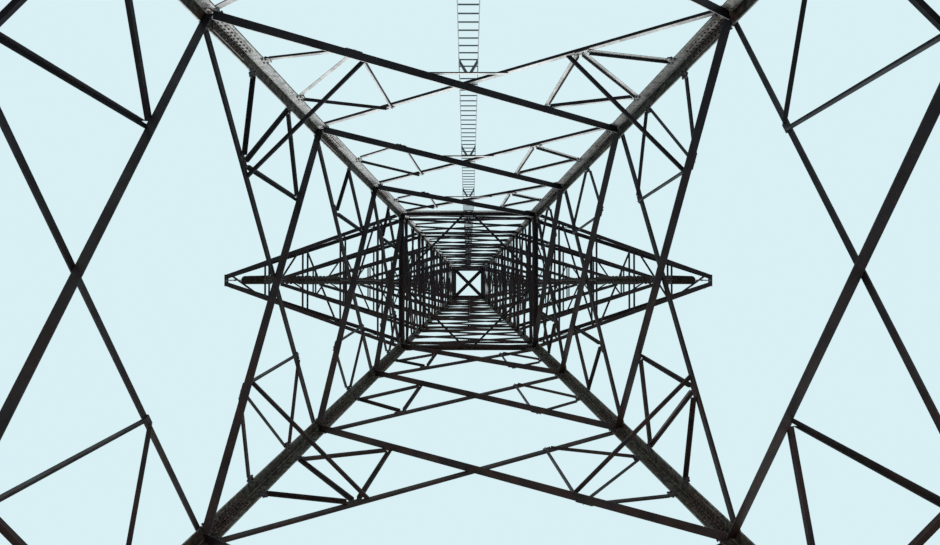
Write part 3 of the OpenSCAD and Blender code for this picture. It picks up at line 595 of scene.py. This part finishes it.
# Feet: anchor rods with square washers and two nuts
anchor = {"spacing": 0.26, "rod": 0.012, "rodSides": 12, "rise": 0.075, "basePlate": 0.022,
          "washer": 0.06, "washerThick": 0.008, "washerCorner": 0.004, "nutRises": (0.006, 0.022)}
bm = bmesh.new()
washer = plateShape("anchorWasher", anchor["washer"], anchor["washer"], anchor["washerThick"],
                    anchor["washerCorner"])
lying = Matrix.Translation((0, 0, anchor["washerThick"] / 2)) @ Matrix.Rotation(math.pi / 2, 4, "X")
foot = tower["baseWidth"] / 2 - tower["legFlange"] / 2
reach = anchor["spacing"] / 2
for x, y in [(sx * foot + i * reach, sy * foot + j * reach)
             for sx in (-1, 1) for sy in (-1, 1) for i in (-1, 1) for j in (-1, 1)]:
    place = Vector((x, y, anchor["basePlate"]))
    stamp(bm, washer, Matrix.Translation(place) @ lying)
    for rise in anchor["nutRises"]:
        stamp(bm, heads["anchor"], pointing(place + Vector((0, 0, rise)), (0, 0, 1)))
    post(bm, anchor["rod"], anchor["rise"], anchor["rodSides"], place)
addPiece("anchorRods", bm, "fittingSteel")
print("anchor rods ready")

# Lower faces: bolts of the diagonals, joints and cleats. Shares run up a panel or along a bar
lowerBolts = {
    "ends": (0.034, 0.072), "offsets": (-0.017, 0.017), "tieOffsets": (-0.011, 0.011),
    "jointPitch": 0.052, "lowJoint": 3, "highJoint": 2, "fit": 0.0003,
    "cleatRows": (-0.035, 0.035), "cleatOnLeg": 0.014, "cleatPastLeg": 0.016,
    "tallPanels": 2, "tallShares": (1 / 3, 2 / 3), "lowShares": (0.5,),
    "footRise": 0.26, "apexHalf": 0.05, "baseJoints": ((0.36, 2), (0.68, 1)), "baseCleats": (0.4, 0.75),
}


def faceNode(m, z):
    return Vector((m * (halfWidth(z) - tower["legFlange"] / 2), alongLower(z)))


def cleatBolts(bm, base, m, z):
    edge = halfWidth(z) - tower["legFlange"]
    back = tower["legThick"] + tower["plateThick"]
    for row in lowerBolts["cleatRows"]:
        s = alongLower(z) + row
        faceBolts(bm, base, [(m * (edge + lowerBolts["cleatOnLeg"]), s)], 0, back)
        faceBolts(bm, base, [(m * (edge - lowerBolts["cleatPastLeg"]), s)], lowerBolts["fit"], back)


def jointBolts(bm, base, middle, way, count, depths):  # a row along a bar
    pitch = lowerBolts["jointPitch"]
    faceBolts(bm, base, [middle + way * (k - (count - 1) / 2) * pitch for k in range(count)], *depths)


def panelBolts(bm, base, i):
    z0, z1 = tower["levels"][i:i + 2]
    middle = Vector((0, alongLower(crossZ(z0, z1))))
    mainEnds = barEnds(faceNode(-1, z0), faceNode(1, z1), lowerBolts["ends"], lowerBolts["offsets"])
    tieEnds = barEnds(faceNode(1, z0), faceNode(-1, z1), lowerBolts["ends"], lowerBolts["tieOffsets"])
    innerFace = tower["legThick"] + tower["mainThick"]
    faceBolts(bm, base, mainEnds, innerFace, 0)
    faceBolts(bm, base, tieEnds, -tower["tieThick"], tower["legThick"])
    faceBolts(bm, base, [middle], -tower["tieThick"], innerFace)
    mainDepths = innerFace, lowerBolts["fit"]
    tieDepths = -tower["tieThick"], tower["legThick"] - lowerBolts["fit"]
    for m in (-1, 1):
        for share in lowerBolts["tallShares" if i < lowerBolts["tallPanels"] else "lowShares"]:
            cleatBolts(bm, base, m, z0 + (z1 - z0) * share)
        for z, onMain, count in ((z0, m < 0, lowerBolts["lowJoint"]), (z1, m > 0, lowerBolts["highJoint"])):
            node = faceNode(m, z)
            jointBolts(bm, base, (node + middle) / 2, (middle - node).normalized(), count,
                       mainDepths if onMain else tieDepths)


def basePanelBolts(bm, base):
    foot, top = lowerBolts["footRise"], tower["levels"][0] - tower["girtDrop"]
    for m in (-1, 1):
        start = faceNode(m, foot)
        end = Vector((m * lowerBolts["apexHalf"], alongLower(top)))
        ends = barEnds(start, end, lowerBolts["ends"], lowerBolts["offsets"])
        faceBolts(bm, base, ends, -tower["mainThick"], tower["legThick"])
        for share, count in lowerBolts["baseJoints"]:
            jointBolts(bm, base, start.lerp(end, share), (end - start).normalized(), count,
                       (-tower["mainThick"], tower["legThick"] - lowerBolts["fit"]))
        for share in lowerBolts["baseCleats"]:
            cleatBolts(bm, base, m, foot + (top - foot) * share)


for side, name in enumerate(sideNames):
    bm = bmesh.new()
    for i in range(len(tower["levels"]) - 1):
        panelBolts(bm, lowerFace(side), i)
    basePanelBolts(bm, lowerFace(side))
    addPiece("lowerBolts" + name, bm, "fittingSteel")
print("lower bolts ready")

# Body faces: bolts of the rails and diagonals. A panel is its bottom, its top and the room that its
# joints leave at each
bodyBolts = {"rail": (-0.012, 0.018), "ends": (0.014, 0.04)}
room = tower["jointRoom"]
bodyPanels = []
bodyRails = []
restPitch = (arms["pitch"] - arms["depth"]) / 2
for i in range(armCount):
    z = waist + i * arms["pitch"]
    top = z + arms["depth"]
    firstLift = 0 if i else tower["bodyFlange"]  # the first rail sits above the waist frame
    bodyRails += [z + firstLift, top]
    bodyPanels.append((z, top, room + firstLift, room))
    if i < armCount - 1:
        bodyPanels.append((top, top + restPitch, room, 0))
        bodyPanels.append((top + restPitch, z + arms["pitch"], 0, room))
bodyPanels.append((armTop, earthZ, room, room))
bodyRails.append(earthZ)
bodyPanels.append((earthZ, earthZ + arms["earthDepth"], room, room))
for side, name in enumerate(sideNames):
    base = upperFace(side)
    bm = bmesh.new()
    innerFace = tower["upperThick"] + tower["bodyThick"]
    for z in bodyRails:
        x = halfWidth(z) - tower["upperFlange"] / 2
        spots = [(m * (x - offset), alongUpper(z)) for m in (-1, 1) for offset in bodyBolts["rail"]]
        faceBolts(bm, base, spots, innerFace, 0, "small")
    for z0, z1, room0, room1 in bodyPanels:
        low, high = z0 + room0, z1 - room1
        xLow, xHigh = (halfWidth(z) - tower["upperFlange"] / 2 for z in (low, high))
        crossing = low + (high - low) * xLow / (xLow + xHigh)
        low, high = alongUpper(low), alongUpper(high)
        faceBolts(bm, base, barEnds((-xLow, low), (xHigh, high), bodyBolts["ends"], (0,)),
                  innerFace, 0, "small")
        faceBolts(bm, base, barEnds((xLow, low), (-xHigh, high), bodyBolts["ends"], (0,)),
                  -tower["bodyThick"], tower["upperThick"], "small")
        faceBolts(bm, base, [(0, alongUpper(crossing))], -tower["bodyThick"], innerFace, "small")
    addPiece("bodyBolts" + name, bm, "fittingSteel")
print("body bolts ready")

# Girts: a plate over each end, outside at one leg and inside at the other, clear of the diagonals
girtPlate = {"wide": 0.17, "high": 0.062, "thick": 0.006, "corner": 0.008,
             "spots": (-0.062, -0.026, 0.026, 0.062)}
bm = bmesh.new()
plate = plateShape("girtPlate", girtPlate["wide"], girtPlate["high"], girtPlate["thick"],
                   girtPlate["corner"])
for side in range(4):
    base = lowerFace(side)
    for z in (tower["levels"][0] - tower["girtDrop"], waist - tower["girtDrop"]):
        for m in (-1, 1):
            x, s = m * (halfWidth(z) - tower["legFlange"]), alongLower(z)
            outer, inner = (-girtPlate["thick"], 0) if m > 0 else (0, girtPlate["thick"])
            y = (outer + inner) / 2 + (0 if m > 0 else tower["legThick"])
            stamp(bm, plate, base @ Matrix.Translation((x, y, s)))
            spots = [(x + spot, s) for spot in girtPlate["spots"]]
            faceBolts(bm, base, spots, outer, tower["legThick"] + inner)
addPiece("girtPlates", bm, "legSteel")
print("girt plates ready")


# Cross arms: the lines of their main bars, as the solids have them, and the bolts of their lacing
def armFrame(z, depth, tip, room):
    near = halfWidth(z)
    inner = near + room
    outer = tip - arms["tipHalf"] / 2
    places = [near + arms["flange"]] + [inner + (outer - inner) * k / arms["bays"]
                                        for k in range(arms["bays"] + 1)]
    return {"z": z, "depth": depth, "tip": tip, "near": near, "far": halfWidth(z + depth), "places": places}


def lowPoint(arm, x, m):
    share = (x - arm["near"]) / (arm["tip"] - arm["near"])
    return Vector((x, m * (arm["near"] + (arms["tipHalf"] - arm["near"]) * share), arm["z"]))


def highPoint(arm, x, m):
    share = (x - arm["far"]) / (arm["tip"] - arm["far"])
    rise = arm["depth"] + (arms["tipDepth"] - arm["depth"]) * share
    return Vector((x, m * (arm["far"] + (arms["tipHalf"] - arm["far"]) * share), arm["z"] + rise))


def through(bm, turn, point, way):  # a bolt through a main bar and its lacing
    grip = arms["thick"] + arms["laceThick"]
    bolt(bm, Matrix(), turn @ point, turn @ (point + way * grip), "small")


def armBolts(bm, arm, turn):
    lift = Vector((0, 0, arms["flange"] / 2))
    upward = Vector((0, 0, 1))
    places, room, step = arm["places"], arms["laceRoom"], arms["boltRoom"]
    last = len(places) - 1
    for m in (-1, 1):
        inward = Vector((arms["tipHalf"] - arm["near"], -m * (arm["tip"] - arm["near"]), 0)).normalized()
        for k in range(1, last + 1):
            if k < last:
                through(bm, turn, lowPoint(arm, places[k], m) + lift, inward)
                through(bm, turn, highPoint(arm, places[k], m) - lift, inward)
            through(bm, turn, lowPoint(arm, places[k] - room, m) + lift, inward)
            through(bm, turn, highPoint(arm, places[k - 1] + room, m) - lift, inward)
        # Two bolts in the flange beside the leg, and two at the tip
        for point, way in ((lowPoint(arm, arm["near"] + step, m) + lift, 1),
                           (highPoint(arm, arm["far"] + step, m) - lift, 1),
                           (lowPoint(arm, arm["tip"] - step, m) + lift, -1)):
            for shift in (0, step):
                through(bm, turn, point + Vector((way * shift, 0, 0)), inward)
    aside = Vector((0, arms["flange"] / 2, 0))
    for k in range(1, last + 1):
        for m in (-1, 1):
            through(bm, turn, lowPoint(arm, places[k], m) - aside * m, upward)
            if k < last:
                through(bm, turn, highPoint(arm, places[k], m) - aside * m, -upward)
        m = 1 if k % 2 == 0 else -1  # the flat lacing goes from side to side
        through(bm, turn, lowPoint(arm, places[k - 1] + room, -m) + aside * m, upward)
        through(bm, turn, lowPoint(arm, places[k] - room, m) - aside * m, upward)


mirrors = (Matrix.Diagonal((1, 1, 1, 1)), Matrix.Diagonal((-1, 1, 1, 1)))
armFrames = [armFrame(waist + i * arms["pitch"], arms["depth"], arms["reach"][i], arms["hangerRoom"][i])
             for i in range(armCount)]
armFrames.append(armFrame(earthZ, arms["earthDepth"], arms["earthReach"], arms["earthRoom"]))
for i, arm in enumerate(armFrames):
    bm = bmesh.new()
    for mirror in mirrors:
        armBolts(bm, arm, mirror)
    addPiece("armBolts%d" % (i + 1), bm, "fittingSteel")
print("arm bolts ready")


# Insulator strings: each shape runs down its string from its own top
def lathed(name, outline, sides):
    bm = bmesh.new()
    ends = [bm.verts.new((r, 0, z)) for r, z in outline]
    for a, b in zip(ends, ends[1:]):
        bm.edges.new((a, b))
    bmesh.ops.spin(bm, geom=bm.verts[:] + bm.edges[:], cent=(0, 0, 0), axis=(0, 0, 1), dvec=(0, 0, 0),
                   angle=2 * math.pi, steps=sides, use_merge=True, use_duplicate=False)
    bmesh.ops.remove_doubles(bm, verts=bm.verts[:], dist=1e-5)
    bmesh.ops.recalc_face_normals(bm, faces=bm.faces[:])
    for face in bm.faces:
        face.smooth = True
    return meshFrom(bm, name)


def bentBar(name, bar, radius, legs=0):  # a ring, or a bow with two legs
    bm = bmesh.new()
    bmesh.ops.create_circle(bm, cap_ends=False, segments=6, radius=bar,
                            matrix=Matrix.Translation((radius, 0, 0)))
    angle, steps = (math.pi, 7) if legs else (2 * math.pi, 14)
    bmesh.ops.spin(bm, geom=bm.verts[:] + bm.edges[:], cent=(0, 0, 0), axis=(0, 1, 0), dvec=(0, 0, 0),
                   angle=angle, steps=steps, use_merge=not legs, use_duplicate=False)
    if legs:
        rims = [e for e in bm.edges if e.is_boundary]
        tops = bmesh.ops.extrude_edge_only(bm, edges=rims)["geom"]
        tops = [v for v in tops if isinstance(v, bmesh.types.BMVert)]
        bmesh.ops.translate(bm, verts=tops, vec=(0, 0, legs))
        bmesh.ops.holes_fill(bm, edges=[e for e in bm.edges if e.is_boundary], sides=6)
    bmesh.ops.recalc_face_normals(bm, faces=bm.faces[:])
    return meshFrom(bm, name)


strings = {"discs": 15, "pitch": 0.073, "radius": 0.066, "discSides": 16, "capSides": 8, "link": 0.88,
           "linkSides": 12, "bundle": 0.2, "hangerDrop": 0.07, "smoothAngle": 35}
# Pairs of radius and height, those of a disc as shares of its radius and of the pitch
outlines = {
    "shell": [(0, 0.2), (0.82, 0.38), (1, 0.56), (0.6, 0.49), (0, 0.56)],
    "capPin": [(0, -0.04), (0.22, -0.02), (0.4, 0.1), (0.42, 0.29), (0.17, 0.31), (0.17, 1), (0, 1)],
    "link": [(0, 0.05), (0.012, 0.052), (0.012, 0.07), (0.009, 0.08), (0.009, 0.4), (0.014, 0.405),
             (0.014, 0.44), (0.009, 0.445), (0.009, 0.83), (0.016, 0.845), (0.02, 0.885), (0, 0.885)],
}
shackle = {"bar": 0.005, "radius": 0.012, "legs": 0.034, "drop": 0.012, "pinRise": 0.016, "pinHalf": 0.017,
           "eyeRadius": 0.013, "eyeDrop": 0.037}
cheek = {"wide": 0.034, "high": 0.074, "thick": 0.006, "corner": 0.012, "past": 0.006, "pinDrop": 0.018}
yoke = {"thick": 0.01, "topGap": 0.01, "past": 0.03, "rim": 0.06, "corner": 0.016, "hangPast": 0.01}
clamp = {"bore": 0.008, "wall": 0.008, "length": 0.11, "lip": 0.003, "taper": 0.6, "drop": 0.07,
         "bandAt": 0.022, "bandHalf": 0.006, "bandSlope": 0.002, "sides": 16, "boltAcross": 0.012,
         "boltRise": 0.016}


def discShape(name, sides):
    outline = [(r * strings["radius"], z * strings["pitch"]) for r, z in outlines[name]]
    return lathed(name, outline, sides)


def yokeShape():  # a plate with one square window and round corners
    half = strings["bundle"] / 2 + yoke["past"]
    top, bottom = -yoke["topGap"], -clamp["drop"] - strings["bundle"] - yoke["past"]
    bm = bmesh.new()
    bmesh.ops.create_cube(bm, size=1, matrix=Matrix.Translation((0, 0, (top + bottom) / 2))
                          @ Matrix.Diagonal((2 * half, yoke["thick"], top - bottom, 1)))
    big = [f for f in bm.faces if abs(f.normal.y) > 0.9]
    bmesh.ops.inset_region(bm, faces=big, thickness=yoke["rim"], use_even_offset=True)
    rims = [e for f in big for e in f.edges]
    bmesh.ops.delete(bm, geom=big, context="FACES_ONLY")
    bmesh.ops.bridge_loops(bm, edges=rims)
    across = [e for e in bm.edges if abs(e.verts[0].co.y - e.verts[1].co.y) > yoke["thick"] / 2]
    bmesh.ops.bevel(bm, geom=across, offset=yoke["corner"], affect="EDGES", segments=4, profile=0.5,
                    material=-1)
    bmesh.ops.recalc_face_normals(bm, faces=bm.faces[:])
    return meshFrom(bm, "yoke")


def clampShape():  # a tube with two raised bands, its outline closed on itself
    bore, lip, end = clamp["bore"], clamp["lip"], clamp["length"] / 2
    skin = bore + clamp["wall"]
    outer, inner = clamp["bandAt"] + clamp["bandHalf"], clamp["bandAt"] - clamp["bandHalf"]
    half = [(bore, -end + 2 * lip), (bore + lip, -end), (bore + 2 * lip, -end),
            (skin, -end * clamp["taper"]), (skin, -outer - clamp["bandSlope"]), (skin + lip, -outer),
            (skin + lip, -inner), (skin, -inner + clamp["bandSlope"])]
    return lathed("clamp", half + [(r, -z) for r, z in reversed(half)] + half[:1], clamp["sides"])


shapes = {
    "shell": discShape("shell", strings["discSides"]),
    "capPin": discShape("capPin", strings["capSides"]),
    "link": lathed("link", outlines["link"], strings["linkSides"]),
    "shackle": bentBar("shackle", shackle["bar"], shackle["radius"], shackle["legs"]),
    "eye": bentBar("eye", shackle["bar"], shackle["eyeRadius"]),
    "yoke": yokeShape(),
    "clamp": clampShape(),
    "cheek": plateShape("cheek", cheek["wide"], cheek["high"], cheek["thick"], cheek["corner"]),
}
stringLength = strings["link"] + strings["discs"] * strings["pitch"]


def runDown(top, low):
    way = (low - top).normalized()
    across = Vector((0, 1, 0)).cross(way)
    return Matrix.Translation(top) @ Matrix((across, (0, 1, 0), way)).transposed().to_4x4()


def hungString(discs, metal, mirror, start, end):
    place = mirror @ runDown(start, end)
    stamp(metal, shapes["link"], place)
    eyePlace = Matrix.Translation((0, 0, shackle["eyeDrop"])) @ Matrix.Rotation(math.pi / 2, 4, "Z")
    stamp(metal, shapes["eye"], place @ eyePlace)
    for k in range(strings["discs"]):
        at = place @ Matrix.Translation((0, 0, strings["link"] + k * strings["pitch"]))
        stamp(discs, shapes["shell"], at)
        stamp(metal, shapes["capPin"], at)
    stamp(metal, shapes["shackle"], mirror @ Matrix.Translation(start - Vector((0, 0, shackle["drop"]))))
    pin = start + Vector((0, 0, shackle["pinRise"]))
    half = Vector((shackle["pinHalf"], 0, 0))
    bolt(metal, Matrix(), mirror @ (pin + half), mirror @ (pin - half))
    # Clevis over the yoke plate
    foot = place @ Matrix.Translation((0, 0, stringLength + cheek["past"]))
    for m in (-1, 1):
        y = m * (yoke["thick"] + cheek["thick"]) / 2
        stamp(metal, shapes["cheek"], foot @ Matrix.Translation((0, y, 0)))
    pin = foot @ Vector((0, 0, cheek["pinDrop"]))
    half = Vector((0, yoke["thick"] / 2 + cheek["thick"], 0))
    bolt(metal, Matrix(), pin - half, pin + half)


def hungClamp(metal, mirror, centre):
    stamp(metal, shapes["clamp"], mirror @ Matrix.Translation(centre) @ Matrix.Rotation(math.pi / 2, 4, "X"))
    for y in (-clamp["bandAt"], clamp["bandAt"]):
        for m in (-1, 1):
            spot = centre + Vector((m * clamp["boltAcross"], y, clamp["boltRise"]))
            stamp(metal, heads["small"], mirror @ pointing(spot, (0, 0, 1)))


def stringSet(discs, metal, arm, mirror):  # the V of one arm, with its yoke plate and four clamps
    inner, outer = arm["places"][1], arm["places"][-1]
    wire = (inner + outer) / 2
    yokeHalf = strings["bundle"] / 2 + yoke["hangPast"]
    spread = outer - wire - yokeHalf
    top = arm["z"] - strings["hangerDrop"]
    low = top - math.sqrt(stringLength ** 2 - spread ** 2)
    for m in (-1, 1):
        hungString(discs, metal, mirror, Vector((wire + m * (spread + yokeHalf), 0, top)),
                   Vector((wire + m * yokeHalf, 0, low)))
    stamp(metal, shapes["yoke"], mirror @ Matrix.Translation((wire, 0, low)))
    for m in (-1, 1):
        for drop in (clamp["drop"], clamp["drop"] + strings["bundle"]):
            hungClamp(metal, mirror, Vector((wire + m * strings["bundle"] / 2, 0, low - drop)))


for i in range(armCount):
    discs, metal = bmesh.new(), bmesh.new()
    for mirror in mirrors:
        stringSet(discs, metal, armFrames[i], mirror)
    for bm in (discs, metal):
        bmesh.ops.recalc_face_normals(bm, faces=bm.faces[:])
    addPiece("discs%d" % (i + 1), discs, "brownGlaze", ["insulators_%d" % (i + 1)],
             strings["smoothAngle"])
    addPiece("stringFittings%d" % (i + 1), metal, "fittingSteel")
print("insulators ready")
